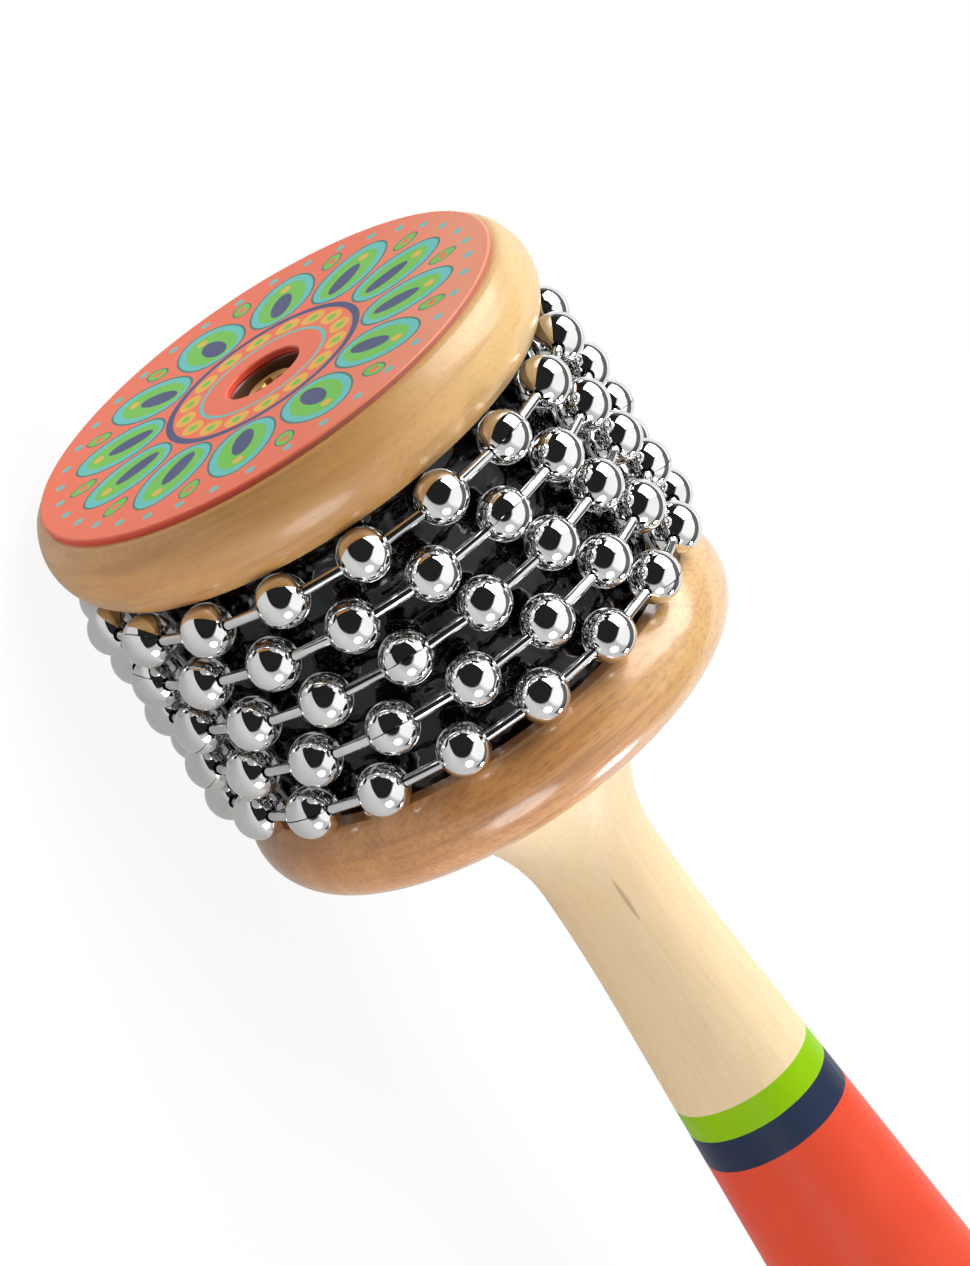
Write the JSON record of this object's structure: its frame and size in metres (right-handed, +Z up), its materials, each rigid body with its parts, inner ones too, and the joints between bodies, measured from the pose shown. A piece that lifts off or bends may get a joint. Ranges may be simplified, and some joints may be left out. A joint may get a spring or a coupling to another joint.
{
  "type": "cabasa",
  "caption": "Hand percussion cabasa: turned wooden head and flared handle, polished steel drum between two round flanges, and loose loops of steel ball chain that turn round the drum.",
  "frame": {"origin": "on the ground under the middle of the whole length, the cabasa lying on its side on the lowest balls", "axes": "+X along the turning axis from the cap to the handle's butt, +Z up"},
  "size_m": [0.196, 0.0858, 0.0857],
  "materials": {
    "handle_wood": "satin varnish, painted bands and grip",
    "flange_wood": "satin varnish",
    "core_wood": "raw",
    "sleeve_steel": "mirror polished",
    "face_print": "satin paint with a printed design",
    "screw_brass": "plated",
    "ball_chrome": "bright nickel plated",
    "link_steel": "bright nickel plated"
  },
  "bodies": {
    "head_and_handle": {"handle": "handle_wood", "lower_flange": "flange_wood", "drum_core": "core_wood", "drum_sleeve": "sleeve_steel", "cap": "flange_wood", "face_disc": "face_print", "screw": "screw_brass"},
    "chain_1": {"chain_1_balls": "ball_chrome", "chain_1_links": "link_steel", "chain_1_closing_link": "link_steel"},
    "chain_2": {"chain_2_balls": "ball_chrome", "chain_2_links": "link_steel", "chain_2_closing_link": "link_steel"},
    "chain_3": {"chain_3_balls": "ball_chrome", "chain_3_links": "link_steel", "chain_3_closing_link": "link_steel"},
    "chain_4": {"chain_4_balls": "ball_chrome", "chain_4_links": "link_steel", "chain_4_closing_link": "link_steel"},
    "chain_5": {"chain_5_balls": "ball_chrome", "chain_5_links": "link_steel", "chain_5_closing_link": "link_steel"}
  },
  "joints": [
    {"name": "chain_1_spin", "type": "hinge", "parent": "head_and_handle", "child": "chain_1", "pos_m": [-0.07995, 0, 0.04287], "axis": [1, 0, 0], "continuous": true},
    {"name": "chain_2_spin", "type": "hinge", "parent": "head_and_handle", "child": "chain_2", "pos_m": [-0.07175, 0, 0.04287], "axis": [1, 0, 0], "continuous": true},
    {"name": "chain_3_spin", "type": "hinge", "parent": "head_and_handle", "child": "chain_3", "pos_m": [-0.06355, 0, 0.04287], "axis": [1, 0, 0], "continuous": true},
    {"name": "chain_4_spin", "type": "hinge", "parent": "head_and_handle", "child": "chain_4", "pos_m": [-0.05535, 0, 0.04287], "axis": [1, 0, 0], "continuous": true},
    {"name": "chain_5_spin", "type": "hinge", "parent": "head_and_handle", "child": "chain_5", "pos_m": [-0.04715, 0, 0.04287], "axis": [1, 0, 0], "continuous": true}
  ]
}
